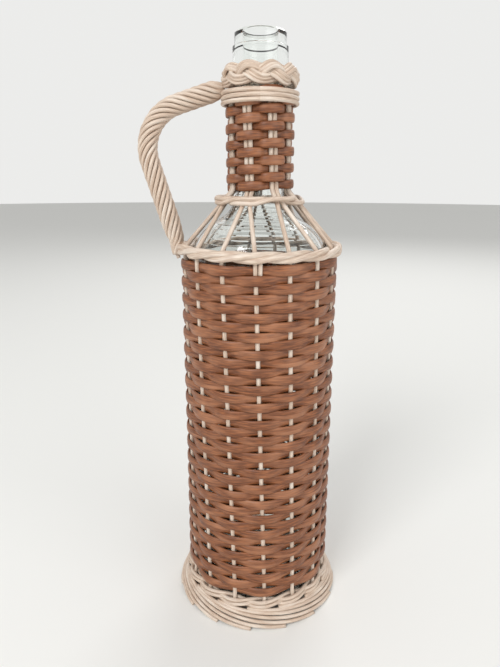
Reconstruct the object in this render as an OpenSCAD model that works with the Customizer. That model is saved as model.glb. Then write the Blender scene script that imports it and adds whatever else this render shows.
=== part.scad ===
// Wine bottle in a wicker jacket: a clear glass bottle in a woven covering of pale stakes and brown flat weavers,
// with a rolled foot border, open reeds over the shoulder, a plaited collar and a twisted handle.
// Millimetres, +Z up. The origin is on the floor, on the bottle's axis. The front is -Y and the handle is at -X.

/* [Glass bottle] */
// Outside diameter of the glass body
glass_d = 79.6; // [74:0.2:86]
// Height of the glass from its foot to its mouth
glass_h = 324.4; // [322:0.2:330]
// Thickness of the glass wall
glass_wall = 2.6; // [2:0.1:3.2]
// Height of the straight side of the glass, above its foot
glass_side_h = 201.4; // [190:0.2:202]
// Radius of the rounded edge round the foot of the glass
heel_r = 6; // [4:0.5:8]
// Radius of the rounded shoulder
shoulder_r = 31; // [29:0.5:32]
// Radius of the hollow curve between shoulder and neck
throat_r = 18; // [16:0.5:19]
// Outside diameter of the glass neck
neck_d = 26.4; // [25:0.2:27.4]
// Diameter of the bore that takes the cork
bore_d = 18.5; // [17.5:0.1:19]
// Depth of the parallel bore below the mouth
bore_depth = 45; // [35:1:55]
// Outside diameter of the lip at the mouth
lip_d = 27.3; // [26:0.1:28]
// Height of the lip
lip_h = 7; // [5:0.5:8]
// Outside diameter of the ring below the lip
ring_d = 29.4; // [28.6:0.1:29.8]
// Height of the ring below the lip
ring_h = 13; // [11:0.5:15]
// Height of the hollow under the glass
punt_h = 12; // [8:1:18]
// Diameter of the hollow under the glass
punt_d = 58; // [50:1:62]

/* [Stakes] */
// Number of upright stakes, odd so that one weaver alternates over them
stake_count = 15; // [13:2:17]
// Diameter of a stake
stake_d = 2.4; // [2:0.1:2.6]
// Turn of a stake round the bottle over the height of the body
body_lean = 8.8; // [0:0.2:12]
// Turn of a stake round the bottle over the height of the neck
neck_lean = 8; // [0:0.5:12]
// Height at which the stakes leave the foot and run up the body
stake_foot_z = 18; // [17:0.5:20]
// Height at which the stakes bend in over the shoulder
stake_shoulder_z = 221; // [219:0.5:222]
// Height at which the stakes turn upright along the neck
stake_neck_z = 251.5; // [250:0.5:253]
// How far the stakes flare out at the foot
foot_flare = 1.7; // [1.2:0.1:2]
// Radius of the bends in a stake
bend_r = 4; // [3.5:0.25:4.5]
// Distance from the axis at which the stakes begin under the bottle
stake_start_r = 15.5; // [15:0.5:18]

/* [Weavers] */
// Thickness of a flat weaver
weaver_t = 1.2; // [1:0.05:1.3]
// Play between weaver, stake and glass
weave_play = 0.3; // [0.25:0.05:0.4]
// Rise of the body weaver in one turn
body_pitch = 4.92; // [4.9:0.02:4.96]
// Width of the body weaver
body_weaver_w = 4.7; // [4:0.1:4.8]
// Height at which the body weaver starts, at its middle
body_weave_z = 18.7; // [18.5:0.1:19]
// Turns of the body weaver
body_rows = 40; // [30:1:40]
// Rise of the neck weaver in one turn
neck_pitch = 4.22; // [4.1:0.02:4.26]
// Width of the neck weaver
neck_weaver_w = 4; // [3.4:0.1:4]
// Height at which the neck weaver starts, at its middle
neck_weave_z = 251.9; // [251.8:0.1:252.6]
// Turns of the neck weaver
neck_rows = 12; // [9:1:12]

/* [Wales] */
// Diameter of a rod in the wale at the shoulder
wale_d = 2.7; // [2.4:0.1:2.8]
// Height of the wale at the shoulder, at its middle
wale_z = 220.2; // [220:0.1:220.6]
// Diameter of a rod in the wale at the foot of the neck
neck_wale_d = 2.2; // [1.8:0.1:2.4]
// Height of the wale at the foot of the neck, at its middle
neck_wale_z = 246.2; // [246:0.1:246.6]
// Length of the wale rod's spare end beside the front stake
tail_len = 6.4; // [4:0.2:8]

/* [Foot] */
// Diameter of a rod in the rolled foot border
border_d = 2.1; // [1.8:0.05:2.15]
// Radius of the foot border's outer edge
foot_r = 51.4; // [51.2:0.1:53]
// How far a border rod moves outwards along its length
border_out = 4.1; // [3.8:0.1:4.3]
// How far a border rod comes down along its length
border_drop = 8.5; // [8.4:0.1:8.8]
// How many stake spaces a border rod spans
border_span = 4; // [3:0.5:4]
// Depth of the flat worn under the border, where the bottle stands
border_flat = 0.3; // [0.2:0.05:0.5]
// Diameter of a strand in the twined rows above the border
twine_d = 1.3; // [1.1:0.1:1.4]
// Height of the lower twined row, at its middle
twine_z = 12.1; // [12.1:0.1:12.2]
// Gap between the floor and the base
base_gap = 1.6; // [1:0.1:2]
// Length of a rod in the cross under the bottle
cross_len = 27; // [24:1:28]
// Rods in each layer of the cross
cross_rods = 4; // [3:1:4]
// Turns of the weaver under the bottle
base_rows = 5; // [4:1:6]
// Width of the weaver under the bottle
base_weaver_w = 3.4; // [3:0.1:3.6]

/* [Collar] */
// Height of the underside of the plaited collar
collar_z = 302.9; // [302.8:0.1:303.4]
// Height of the plaited collar from its underside to its top
collar_h = 12.4; // [11.5:0.1:13]
// Radius of the collar's outer edge
collar_r = 20.6; // [20:0.1:21]
// Width of one strand of the plait
strand_w = 4.6; // [4:0.1:4.8]
// Thickness of one strand of the plait
strand_t = 1.9; // [1.6:0.1:2]
// Turns of the plait's pattern round the neck
plait_repeats = 3; // [3:1:4]
// Diameter of a reed in the lashing below the collar
lash_d = 2.3; // [2:0.1:2.35]
// Height of the lowest lashing reed, at its middle
lash_z = 296; // [295.5:0.1:296]
// Rise from one lashing reed to the next
lash_pitch = 2.4; // [2.36:0.02:2.46]

/* [Handle] */
// Diameter of the handle's core
handle_core_d = 6.4; // [6:0.1:7]
// Diameter of a rod twisted round the core
handle_rod_d = 2.2; // [2:0.1:2.3]
// Rods twisted round the core
handle_rods = 9; // [8:1:10]
// Length of one turn of the twist
handle_twist = 42; // [38:1:50]
// Height of the handle's upper end
handle_top_z = 302.9; // [301:0.1:304]
// Height of the handle's corner, where its two straight runs would meet
handle_corner_z = 288.5; // [286:0.5:290]
// Distance from the axis to the handle's corner
handle_reach = 67.5; // [64:0.5:72]
// Radius of the handle's bend
handle_bend_r = 24; // [20:0.5:26]
// Distance from the axis to the handle's lower end
handle_foot_x = 47.4; // [47.2:0.1:48.5]

/* [Hidden] */

$fn = 48;
pale = "BurlyWood";
brown = "Sienna";
seat_gap = 0.2;
front_turn = -2.8;
glass_r = glass_d / 2;
neck_r = neck_d / 2;
spoke_z = base_gap + weaver_t + stake_d / 2;
glass_z = spoke_z + stake_d / 2 + weaver_t + seat_gap;
mouth_z = glass_z + glass_h;
stake_step = 360 / stake_count;
stake_r = glass_r + weaver_t + weave_play + stake_d / 2;
neck_stake_r = neck_r + weaver_t + weave_play + stake_d / 2;
stake_top_z = collar_z - seat_gap;
wale_rise = wale_d / 2 + 0.06;
neck_wale_rise = neck_wale_d / 2 + 0.06;
wale_r = stake_r + (stake_d + wale_d) / 2 + 0.1;

function unit(v) = v / norm(v);
function polar(r, turn, z) = [r * sin(turn), -r * cos(turn), z];
function turn_of(p) = atan2(p[0], -p[1]);
function flat_r(p) = norm([p[0], p[1]]);
function mix(a, b, s) = a + (b - a) * s;
function arc(c, r, a0, a1, n) = [for (i = [0:n]) c + r * [cos(mix(a0, a1, i / n)), sin(mix(a0, a1, i / n))]];

// A closed skin over rings of points, as triangles, with flat ends unless the rings close on themselves
module skin(rings, closed = false) {
    n = len(rings);
    m = len(rings[0]);
    last = closed ? n - 1 : n - 2;
    sides = [for (i = [0:last], j = [0:m - 1])
        let (a = i * m + j, b = i * m + (j + 1) % m, c = ((i + 1) % n) * m + (j + 1) % m, d = ((i + 1) % n) * m + j)
        each [[a, b, c], [a, c, d]]];
    start = [for (j = [1:m - 2]) [0, j + 1, j]];
    finish = [for (j = [1:m - 2]) [(n - 1) * m, (n - 1) * m + j, (n - 1) * m + j + 1]];
    polyhedron(points = [for (r = rings) each r], faces = closed ? sides : concat(sides, start, finish));
}

// Rings of an oval section, w by t, along a path; the width lies along the direction given by side
function oval_rings(path, side, w, t, sides, closed = false) =
    let (n = len(path))
    [for (i = [0:n - 1])
        let (ahead = closed ? path[(i + 1) % n] : path[min(i + 1, n - 1)],
             behind = closed ? path[(i + n - 1) % n] : path[max(i - 1, 0)],
             along = unit(ahead - behind),
             up = unit(side[i] - along * (side[i] * along)),
             out = cross(along, up))
        [for (j = [0:sides - 1]) let (a = 360 * j / sides)
            path[i] + up * (w / 2 * sin(a)) + out * (t / 2 * cos(a))]];

// Rings of a flat strip along a path round the axis: t thick from the axis outwards, w high
function strip_rings(path, t, w) =
    [for (p = path) let (r = flat_r(p), a = turn_of(p))
        [polar(r - t / 2, a, p[2] - w / 2), polar(r + t / 2, a, p[2] - w / 2),
         polar(r + t / 2, a, p[2] + w / 2), polar(r - t / 2, a, p[2] + w / 2)]];

// Path along straight runs, bent to a radius at each corner in a few steps
function bent_path(points, bends, steps) =
    let (last = len(points) - 1,
         runs = [for (i = [0:last - 1]) unit(points[i + 1] - points[i])],
         turns = [for (i = [1:last - 1]) acos(runs[i - 1] * runs[i])])
    [points[0],
        for (i = [0:last - 2])
            let (a = runs[i], inward = unit(runs[i + 1] - a * (a * runs[i + 1])),
                 centre = points[i + 1] - a * (bends[i] * tan(turns[i] / 2)) + inward * bends[i])
            each [for (s = [0:steps]) let (t = turns[i] * s / steps)
                centre + bends[i] * (a * sin(t) - inward * cos(t))],
        points[last]];

// A round rod along a path; side is a direction that the path never takes
module rod(path, side, d, sides) {
    skin(oval_rings(path, [for (p = path) side], d, d, sides));
}

// Stakes stand in pairs up the neck, with one group of three at the back
neck_units = (stake_count - 1) / 2;
triple = round((neck_units + 1) / 2);
function unit_of(m) = m < 2 * triple ? floor(m / 2) : m < 2 * triple + 3 ? triple : floor((m - 1) / 2);
function unit_size(u) = u == triple ? 3 : 2;
function unit_first(u) = u <= triple ? 2 * u : 2 * u + 1;
function unit_turn(u) = (unit_first(u) + (unit_size(u) - 1) / 2 - 1) * stake_step + front_turn;
function wrapped(k, n) = ((k % n) + n) % n;

// Place of stake k at the foot, at the shoulder and up the neck
function foot_turn(k) = k * stake_step + front_turn + body_lean;
function body_point(k, z) =
    mix(polar(stake_r, foot_turn(k), stake_foot_z), polar(stake_r, foot_turn(k) - body_lean, stake_shoulder_z),
        (z - stake_foot_z) / (stake_shoulder_z - stake_foot_z));
function flare_r(z) = stake_r + foot_flare * (stake_foot_z - z) / (stake_foot_z - spoke_z);
function neck_turn(k, r) =
    let (m = wrapped(k + 1, stake_count), u = unit_of(m), place = m - unit_first(u) - (unit_size(u) - 1) / 2)
    unit_turn(u) - neck_lean / 2 + asin(place * (stake_d + 0.15) / r);
wale_stake_r = mix(stake_r, neck_stake_r, (neck_wale_z - stake_shoulder_z) / (stake_neck_z - stake_shoulder_z));
function neck_point(k, z) =
    mix(polar(neck_stake_r, neck_turn(k, neck_stake_r), stake_neck_z),
        polar(neck_stake_r, neck_turn(k, neck_stake_r) - neck_lean, stake_top_z),
        (z - stake_neck_z) / (stake_top_z - stake_neck_z));

module glass_bottle() {
    color("LightSeaGreen", 0.4) difference() {
        rotate_extrude($fn = 96) polygon(glass_outline());
        rotate_extrude($fn = 96) polygon(cavity_outline());
    }
}

// Half outline of the glass, from the hollow under it to the mouth
function glass_outline() =
    let (z_side = glass_z + glass_side_h, ring_z = mouth_z - lip_h - ring_h)
    concat(dome(punt_d / 2, punt_h, glass_z),
        arc([glass_r - heel_r, glass_z + heel_r], heel_r, -90, 0, 6),
        shoulder_curve(glass_r, neck_r, shoulder_r, throat_r, z_side),
        [[neck_r, ring_z - 1], [ring_d / 2, ring_z], [ring_d / 2, mouth_z - lip_h - 0.6],
         [lip_d / 2, mouth_z - lip_h], [lip_d / 2, mouth_z - 1.2], [lip_d / 2 - 1.2, mouth_z], [0, mouth_z]]);

// Half outline of the space inside, run past the mouth
function cavity_outline() =
    let (r = glass_r - glass_wall, floor_z = glass_z + glass_wall + 1.6, z_side = glass_z + glass_side_h,
         throat = bore_d / 2 + 0.6, top = mouth_z - bore_depth)
    concat(dome(punt_d / 2 - 1, punt_h, floor_z),
        arc([r - heel_r, floor_z + heel_r], heel_r, -90, 0, 6),
        shoulder_curve(r, throat, shoulder_r - glass_wall, throat_r + glass_wall, z_side),
        [[throat, top - 3], [bore_d / 2, top], [bore_d / 2, mouth_z + 1], [0, mouth_z + 1]]);

// Hollow under a bottle: an arc from the axis down to radius r
function dome(r, h, z) =
    let (big = (r * r + h * h) / (2 * h), half = asin(r / big))
    arc([0, z + h - big], big, 90, 90 - half, 8);

// Shoulder arc and hollow throat arc that meet smoothly between a body and a neck
function shoulder_curve(body, neck, round_r, hollow_r, z) =
    let (centre = [body - round_r, z], across = neck + hollow_r - centre[0],
         rise = sqrt(pow(round_r + hollow_r, 2) - across * across), lean = atan2(rise, across))
    concat(arc(centre, round_r, 0, lean, 10), arc(centre + [across, rise], hollow_r, 180 + lean, 180, 8));

module base_cross_lower() {
    color(pale) translate([0, 0, spoke_z - stake_d / 2]) cross_layer();
}

module base_cross_upper() {
    color(pale) translate([0, 0, spoke_z + stake_d / 2]) rotate([0, 0, 90]) cross_layer();
}

// Rods lying side by side along X
module cross_layer() {
    for (i = [0:cross_rods - 1])
        translate([-cross_len / 2, (i - (cross_rods - 1) / 2) * (stake_d + 0.1), 0])
            rotate([0, 90, 0]) cylinder(d = stake_d - 0.05, h = cross_len);
}

// Flat weaver that spirals outwards under the bottle, over and under the spokes
module base_weaver() {
    first_r = stake_start_r + base_weaver_w / 2 + 0.5;
    path = [for (i = [0:base_rows * stake_count])
        polar(first_r + (base_weaver_w + 0.2) * i / stake_count, foot_turn(i),
            spoke_z + (i % 2 == 0 ? 1 : -1) * (stake_d + weaver_t) / 2)];
    color(pale) skin([for (p = path) let (r = flat_r(p), a = turn_of(p), w = base_weaver_w / 2, t = weaver_t / 2)
        [polar(r - w, a, p[2] - t), polar(r + w, a, p[2] - t), polar(r + w, a, p[2] + t), polar(r - w, a, p[2] + t)]]);
}

// One upright: a spoke under the bottle, the body, the shoulder, and one of a pair up the neck
module stake(k) {
    points = [
        polar(stake_start_r, foot_turn(k), spoke_z),
        polar(stake_r + foot_flare, foot_turn(k), spoke_z),
        body_point(k, stake_foot_z),
        body_point(k, stake_shoulder_z),
        polar(wale_stake_r, neck_turn(k, wale_stake_r), neck_wale_z),
        neck_point(k, stake_neck_z),
        neck_point(k, stake_top_z)];
    bends = [bend_r, 12 * bend_r, bend_r, 2 * bend_r, bend_r];
    color(pale) rod(bent_path(points, bends, 2), polar(1, foot_turn(k) + 90, 0), stake_d, 6);
}

// Rods rolled round the foot, each starting at the stakes and running outwards and down to the floor
module foot_border() {
    half = border_span * stake_step / 2;
    across = border_out / (2 * sin(half));
    down = border_drop / (2 * sin(half));
    ring_r = foot_r - border_d / 2 - border_out / 2;
    middle_z = border_drop / 2 + border_d / 2 - border_flat;
    color(pale) difference() {
        for (k = [1:stake_count])
            rotate([0, 0, k * stake_step]) translate([0, across, middle_z]) rotate([-asin(down / ring_r), 0, 0])
                rotate([0, 0, -half]) rotate_extrude(angle = 2 * half) translate([ring_r, 0]) circle(d = border_d);
        translate([0, 0, -border_d]) cylinder(r = foot_r + border_d, h = border_d);
    }
}

// One twined row: a strand that goes round twice and crosses itself between the stakes
module foot_twine(z) {
    steps = 2 * stake_count;
    r = flare_r(z);
    swing = (stake_d + twine_d) / 2 + 0.1;
    path = [for (i = [0:2 * steps - 1])
        let (s = i / 2, outside = i % 4 == 0, inside = i % 4 == 2)
        polar(r + (outside ? swing : inside ? -swing : 0), foot_turn(0) + s * stake_step,
            z + (outside || inside ? 0 : (i % 4 == 1 ? 1 : -1) * (twine_d / 2)))];
    color(pale) skin(oval_rings(path, [for (p = path) [0, 0, 1]], twine_d, twine_d, 6, true), true);
}

// Flat weaver that climbs the body, over one stake and behind the next
module body_weaver() {
    start = round(stake_count / 2);
    kink = 1 / cos(stake_step);
    behind = glass_r + (weaver_t + weave_play) / 2;
    path = [for (i = [0:stake_count * body_rows - 3])
        let (k = start + i, z = body_weave_z + body_pitch * i / stake_count, p = body_point(k, z), r = flat_r(p))
        polar(i % 2 == 1 ? r + stake_d / 2 * kink + weaver_t / 2 + 0.05 : (glass_r + r - stake_d / 2) / 2,
            turn_of(p), z)];
    color(brown) skin(strip_rings(path, weaver_t, body_weaver_w));
}

// Flat weaver that climbs the neck, over one pair of stakes and behind the next
module neck_weaver() {
    start = 2 * triple;
    gap = 2 * stake_step - asin((stake_d + 0.15) / neck_stake_r);
    kink = 1 / cos(gap);
    path = [for (i = [0:stake_count * neck_rows - 6])
        let (m = (start + i) % stake_count, u = unit_of(m) + neck_units * floor((start + i) / stake_count),
             z = neck_weave_z + neck_pitch * i / stake_count, p = neck_point(m - 1, z), r = flat_r(p))
        polar(u % 2 == 1 ? r + stake_d / 2 * kink + weaver_t / 2 + 0.05 : (neck_r + r - stake_d / 2) / 2,
            turn_of(p), z)];
    color(brown) skin(strip_rings(path, weaver_t, neck_weaver_w));
}

// Steps that one wale rod spans, so that it ends behind the stake where the next rod begins
function wale_span(n) = n % 3 == 0 ? n : n % 3 == 1 ? n - 1 : n + 1;

// One of three rods that wind round the shoulder: in front of two stakes and behind the third
module shoulder_wale_rod(j) {
    steps = 2 * wale_span(stake_count);
    back = stake_r - (stake_d + wale_d) / 2 - 0.1;
    path = [for (i = [0:steps])
        let (phase = (i % 6) / 2, u = j + min(max(i / 2, 0.04), steps / 2 - 0.04))
        polar(phase == 0 ? back : phase == 0.5 || phase == 2.5 ? (back + wale_r) / 2 : wale_r,
            u * stake_step + front_turn, wale_z + wale_swing(phase) * wale_rise)];
    color(pale) skin(oval_rings(path, [for (p = path) [0, 0, 1]], wale_d, wale_d, 6));
}

// Height of a wale rod along its stroke, from -1 as it comes out to 1 as it goes in
function wale_swing(phase) = phase == 0 ? 0 : phase <= 1 ? -1 : phase < 2 ? (phase - 1.5) * 2 : 1;

// Spare end of a wale rod, turned down beside the front stake
module wale_tail() {
    top = wale_z - wale_rise - wale_d / 2 - 0.3;
    turn = turn_of(body_point(0, top)) + asin((stake_d + 0.2) / stake_r);
    color(pale) translate(polar(stake_r + 0.8, turn, top - tail_len)) cylinder(d = stake_d - 0.2, h = tail_len);
}

// One of three rods that draw the stakes together at the foot of the neck
module neck_wale_rod(j) {
    steps = 4 * wale_span(neck_units);
    slope = atan2(stake_r - neck_stake_r, stake_neck_z - stake_shoulder_z);
    reach = (stake_d + neck_wale_d) / 2 / cos(slope) + 0.35;
    path = [for (i = [0:steps])
        let (quarter = i % 12, phase = quarter / 4, u = j + min(max(i / 4, 0.04), steps / 4 - 0.04),
             front = quarter >= 2 && quarter <= 10, back = quarter <= 1 || quarter == 11,
             rise = wale_swing(phase < 0.5 ? 0 : phase > 2.5 ? 0 : round(phase * 2) / 2) * neck_wale_rise,
             lift = back ? (quarter == 1 ? -0.5 : quarter == 11 ? 0.5 : 0) * neck_wale_rise : rise)
        polar(wale_stake_r + (back ? -reach * (quarter == 0 ? 1 : 0.75) : reach * (quarter == 2 || quarter == 10 ? 0.55 : 1)),
            wale_turn(u), neck_wale_z + lift)];
    color(pale) skin(oval_rings(path, [for (p = path) [0, 0, 1]], neck_wale_d, neck_wale_d, 6));
}

// Turn round the neck of unit u, also between units
function wale_turn(u) =
    let (low = floor(u), a = unit_turn(low % neck_units) + 360 * floor(low / neck_units),
         b = unit_turn((low + 1) % neck_units) + 360 * floor((low + 1) / neck_units))
    mix(a, b, u - low) - neck_lean / 2;

module neck_lash_reed(j) {
    over = neck_stake_r + stake_d / 2 / cos(2 * stake_step - asin((stake_d + 0.15) / neck_stake_r)) + weaver_t + 0.15;
    color(pale) translate([0, 0, lash_z + (j - 1) * lash_pitch])
        rotate_extrude() translate([over + lash_d / 2, 0]) circle(d = lash_d);
}

// One of three strands plaited round the neck; each stands for reeds that lie side by side
module collar_strand(j) {
    count = 12 * plait_repeats;
    layer = strand_t / 2 + 0.15;
    across = (collar_r - ring_d / 2 - strand_t) / 2 - 0.6;
    tall = collar_h / 2 - strand_t / 2 - layer;
    centre = [collar_r - strand_t / 2 - layer - across - 0.2, collar_z + collar_h / 2];
    function lay(i) =
        let (psi = 360 * plait_repeats * i / count + 120 * j, beta = 10 + 38 * sin(psi), h = layer * 1.15 * sin(2 * psi))
        polar(centre[0] + (across + h) * cos(beta), 360 * i / count, centre[1] + (tall + h) * sin(beta));
    function face(i) =
        let (psi = 360 * plait_repeats * i / count + 120 * j, beta = 10 + 38 * sin(psi))
        polar(-sin(beta) * across, 360 * i / count, cos(beta) * tall);
    path = [for (i = [0:count - 1]) lay(i)];
    color(pale) skin(oval_rings(path, [for (i = [0:count - 1]) face(i)], strand_w, strand_t, 8, true), true);
}

// The handle's centre line: two straight runs joined by a bend
handle_points = [[-collar_r - 2.3, 0, handle_top_z], [-handle_reach, 0, handle_corner_z],
    [-handle_foot_x, 0, wale_z + wale_rise + wale_d / 2 + 1.9]];
handle_r = handle_core_d / 2 + handle_rod_d / 2 + 0.1;
run_a = unit(handle_points[1] - handle_points[0]);
run_b = unit(handle_points[2] - handle_points[1]);
handle_turn = acos(run_a * run_b);
handle_cut = handle_bend_r * tan(handle_turn / 2);
len_a = norm(handle_points[1] - handle_points[0]) - handle_cut;
len_arc = handle_bend_r * handle_turn * PI / 180;
len_b = norm(handle_points[2] - handle_points[1]) - handle_cut;
handle_len = len_a + len_arc + len_b;
arc_in = unit(run_b - run_a * (run_a * run_b));
arc_centre = handle_points[0] + run_a * len_a + arc_in * handle_bend_r;

// Point and direction of the centre line at distance s from the upper end
function handle_at(s) =
    s < len_a ? handle_points[0] + run_a * s
    : s < len_a + len_arc ? let (t = (s - len_a) / len_arc * handle_turn)
        arc_centre + handle_bend_r * (run_a * sin(t) - arc_in * cos(t))
    : handle_points[2] - run_b * (handle_len - s);
function handle_along(s) =
    s < len_a ? run_a
    : s < len_a + len_arc ? let (t = (s - len_a) / len_arc * handle_turn) run_a * cos(t) + arc_in * sin(t)
    : run_b;

module handle_core() {
    reach = collar_r + 0.9 + handle_core_d / 2 * sin(atan2(-run_a[2], -run_a[0]));
    start = handle_points[0] - run_a * ((collar_r + 2.3 - reach) / -run_a[0]);
    points = [start, handle_points[1], handle_points[2]];
    color(pale) rod(bent_path(points, [handle_bend_r], 8), [0, 1, 0], handle_core_d, 12);
}

// One rod twisted round the core
module handle_rod(j) {
    count = ceil(10 * handle_len / handle_twist);
    path = [for (i = [0:count])
        let (s = handle_len * i / count, along = handle_along(s), side = cross(along, [0, 1, 0]),
             a = 360 * j / handle_rods - 360 * s / handle_twist)
        handle_at(s) + handle_r * (side * cos(a) + [0, 1, 0] * sin(a))];
    color(pale) skin(oval_rings(path, [for (p = path) [0, 1, 0]], handle_rod_d, handle_rod_d, 6));
}

// Rod that comes down from the handle over the wale and holds it to the body
module handle_tie() {
    d = handle_rod_d;
    out = wale_r + (wale_d + d) / 2 + 0.1;
    weave_r = stake_r + stake_d / 2 / cos(stake_step) + weaver_t + d / 2 + 0.1;
    low = wale_z - wale_rise - wale_d / 2;
    points = [
        [-out - 0.9, 0, handle_points[2][2] - 0.9],
        [-out, 0, low - 0.6],
        [-weave_r, 0, low - 4]];
    color(pale) rod(bent_path(points, [bend_r], 3), [0, 1, 0], d, 8);
}

glass_bottle();
base_cross_lower();
base_cross_upper();
base_weaver();
for (k = [1:stake_count])
    stake(k - 1);
foot_border();
foot_twine(twine_z);  // foot_twine_lower
foot_twine(twine_z + 2 * twine_d);  // foot_twine_upper
body_weaver();
for (k = [1:3])
    shoulder_wale_rod(k);
wale_tail();
for (k = [1:3])
    neck_wale_rod(k);
neck_weaver();
for (k = [1:3])
    neck_lash_reed(k);
for (k = [1:3])
    collar_strand(k);
handle_core();
for (k = [1:handle_rods])
    handle_rod(k);
handle_tie();
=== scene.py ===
"""Looks of a wicker-covered wine bottle: glass, woven jacket, plaited collar and twisted handle."""

import logging
import math
from collections.abc import Iterator, Sequence
from dataclasses import dataclass, field
from enum import Enum

import bmesh
import bpy
import numpy as np
from mathutils import Matrix, Vector


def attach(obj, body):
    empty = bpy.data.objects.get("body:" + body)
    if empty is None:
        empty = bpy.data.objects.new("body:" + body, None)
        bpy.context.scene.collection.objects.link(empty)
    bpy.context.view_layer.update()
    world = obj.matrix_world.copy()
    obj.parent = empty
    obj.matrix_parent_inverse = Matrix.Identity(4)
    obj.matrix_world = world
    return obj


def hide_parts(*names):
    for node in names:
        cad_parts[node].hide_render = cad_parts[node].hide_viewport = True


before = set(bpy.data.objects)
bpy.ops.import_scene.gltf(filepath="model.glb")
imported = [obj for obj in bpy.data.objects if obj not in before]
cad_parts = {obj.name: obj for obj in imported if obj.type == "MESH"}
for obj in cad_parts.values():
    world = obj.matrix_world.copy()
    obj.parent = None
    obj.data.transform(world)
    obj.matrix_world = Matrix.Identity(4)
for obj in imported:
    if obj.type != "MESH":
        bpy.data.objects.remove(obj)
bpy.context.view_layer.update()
MM = 0.001
BODY = "root"
log = logging.getLogger("wicker_bottle")
Path = np.ndarray
Triple = tuple[float, float, float]

# Direction square to the handle's plane.
ACROSS = np.array([0.0, 1.0, 0.0])
# Points closer than this, in metres, are merged.
MERGE = 1e-7
# Length of rod to one unit of the pattern, in millimetres.
PATTERN_MM = 10.0
# Step from the pattern of one rod to that of the next.
NEXT_PATTERN = 9.0
# A rod's thickness wanders at these two rates, in millimetres to a radian.
SLOW_MM = 9.1
QUICK_MM = 3.7


class Slot(Enum):
    """Material slots of the record."""
    GLASS = "clear_glass"
    WILLOW = "peeled_willow"
    WEAVER = "brown_weaver"


class Coords(Enum):
    """Where a finish reads its pattern."""
    OWN_LENGTH = "UV"
    OBJECT = "Object"


def polar(r: float, turn: float, z: float) -> np.ndarray:
    """Point at radius r, turned from the front towards +X, at height z."""
    a = math.radians(turn)
    return np.array([r * math.sin(a), -r * math.cos(a), z])


def unit(v: np.ndarray) -> np.ndarray:
    """Vectors scaled to length one."""
    return v / np.linalg.norm(v, axis=-1, keepdims=True)


def radial(path: Path) -> Path:
    """Directions from the axis outwards at each point of a path."""
    return unit(path * np.array([1.0, 1.0, 0.0]))


def between(low: float, high: float, wave: float) -> float:
    """Value from low, where wave is -1, to high, where wave is 1."""
    return (high + low) / 2 + (high - low) / 2 * wave


def run_length(path: Path) -> np.ndarray:
    """Length along a path at each of its points."""
    return np.concatenate([[0], np.cumsum(np.linalg.norm(np.diff(path, axis=0), axis=1))])


def turned(path: Path, turn: float) -> Path:
    """Turns a path round the bottle's axis.

    Args:
        path: Points of the path.
        turn: Degrees, from +X towards +Y.

    Returns:
        The turned path.
    """
    a = math.radians(turn)
    x, y, z = path.T
    return np.stack([x * math.cos(a) - y * math.sin(a), x * math.sin(a) + y * math.cos(a), z], axis=1)


def smooth(points: list[np.ndarray], per: int) -> Path:
    """Curve through points.

    Args:
        points: Points that the curve passes through.
        per: Steps between two points.

    Returns:
        Points along the curve.
    """
    p = np.asarray(points, float)
    p = np.vstack([2 * p[0] - p[1], p, 2 * p[-1] - p[-2]])
    out = []
    for i in range(1, len(p) - 2):
        a, b, c, d = p[i - 1:i + 3]
        for t in np.arange(per) / per:
            out.append(0.5 * (2 * b + (c - a) * t + (2 * a - 5 * b + 4 * c - d) * t ** 2
                              + (3 * b - a - 3 * c + d) * t ** 3))
    out.append(p[-2])
    return np.array(out)


def bent(points: Path, bends: list[float], steps: int) -> Path:
    """Straight runs joined by arcs.

    Args:
        points: Corners of the path.
        bends: Radius at each inner corner.
        steps: Steps along each arc.

    Returns:
        Points along the path.
    """
    runs = unit(np.diff(points, axis=0))
    out = [points[0]]
    for i, bend in enumerate(bends):
        a, b = runs[i], runs[i + 1]
        turn = math.acos(float(np.clip(a @ b, -1, 1)))
        inward = unit(b - a * (a @ b))
        centre = points[i + 1] - a * bend * math.tan(turn / 2) + inward * bend
        for s in range(steps + 1):
            t = turn * s / steps
            out.append(centre + bend * (a * math.sin(t) - inward * math.cos(t)))
    out.append(points[-1])
    return np.array(out)


def dense(path: Path, step: float) -> Path:
    """Spreads points evenly along a path.

    Args:
        path: Points of the path.
        step: Distance from point to point, in millimetres.

    Returns:
        Points along the path.
    """
    at = run_length(path)
    want = np.linspace(0, at[-1], max(2, int(at[-1] / step)))
    return np.stack([np.interp(want, at, path[:, i]) for i in range(3)], axis=1)


def axes_along(path: Path, outward: Path, closed: bool) -> tuple[Path, Path]:
    """Works out how a section stands at each point of a path.

    Args:
        path: Points of the path.
        outward: Direction of the crown at each point, or one for all.
        closed: Whether the path joins its own start.

    Returns:
        Directions out of the crown and sideways, both square to the path.
    """
    ahead = np.roll(path, -1, 0) if closed else np.vstack([path[1:], path[-1:]])
    behind = np.roll(path, 1, 0) if closed else np.vstack([path[:1], path[:-1]])
    along = unit(ahead - behind)
    outward = np.broadcast_to(outward, path.shape)
    out = unit(outward - np.sum(outward * along, axis=1, keepdims=True) * along)
    return out, np.cross(out, along)


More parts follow.
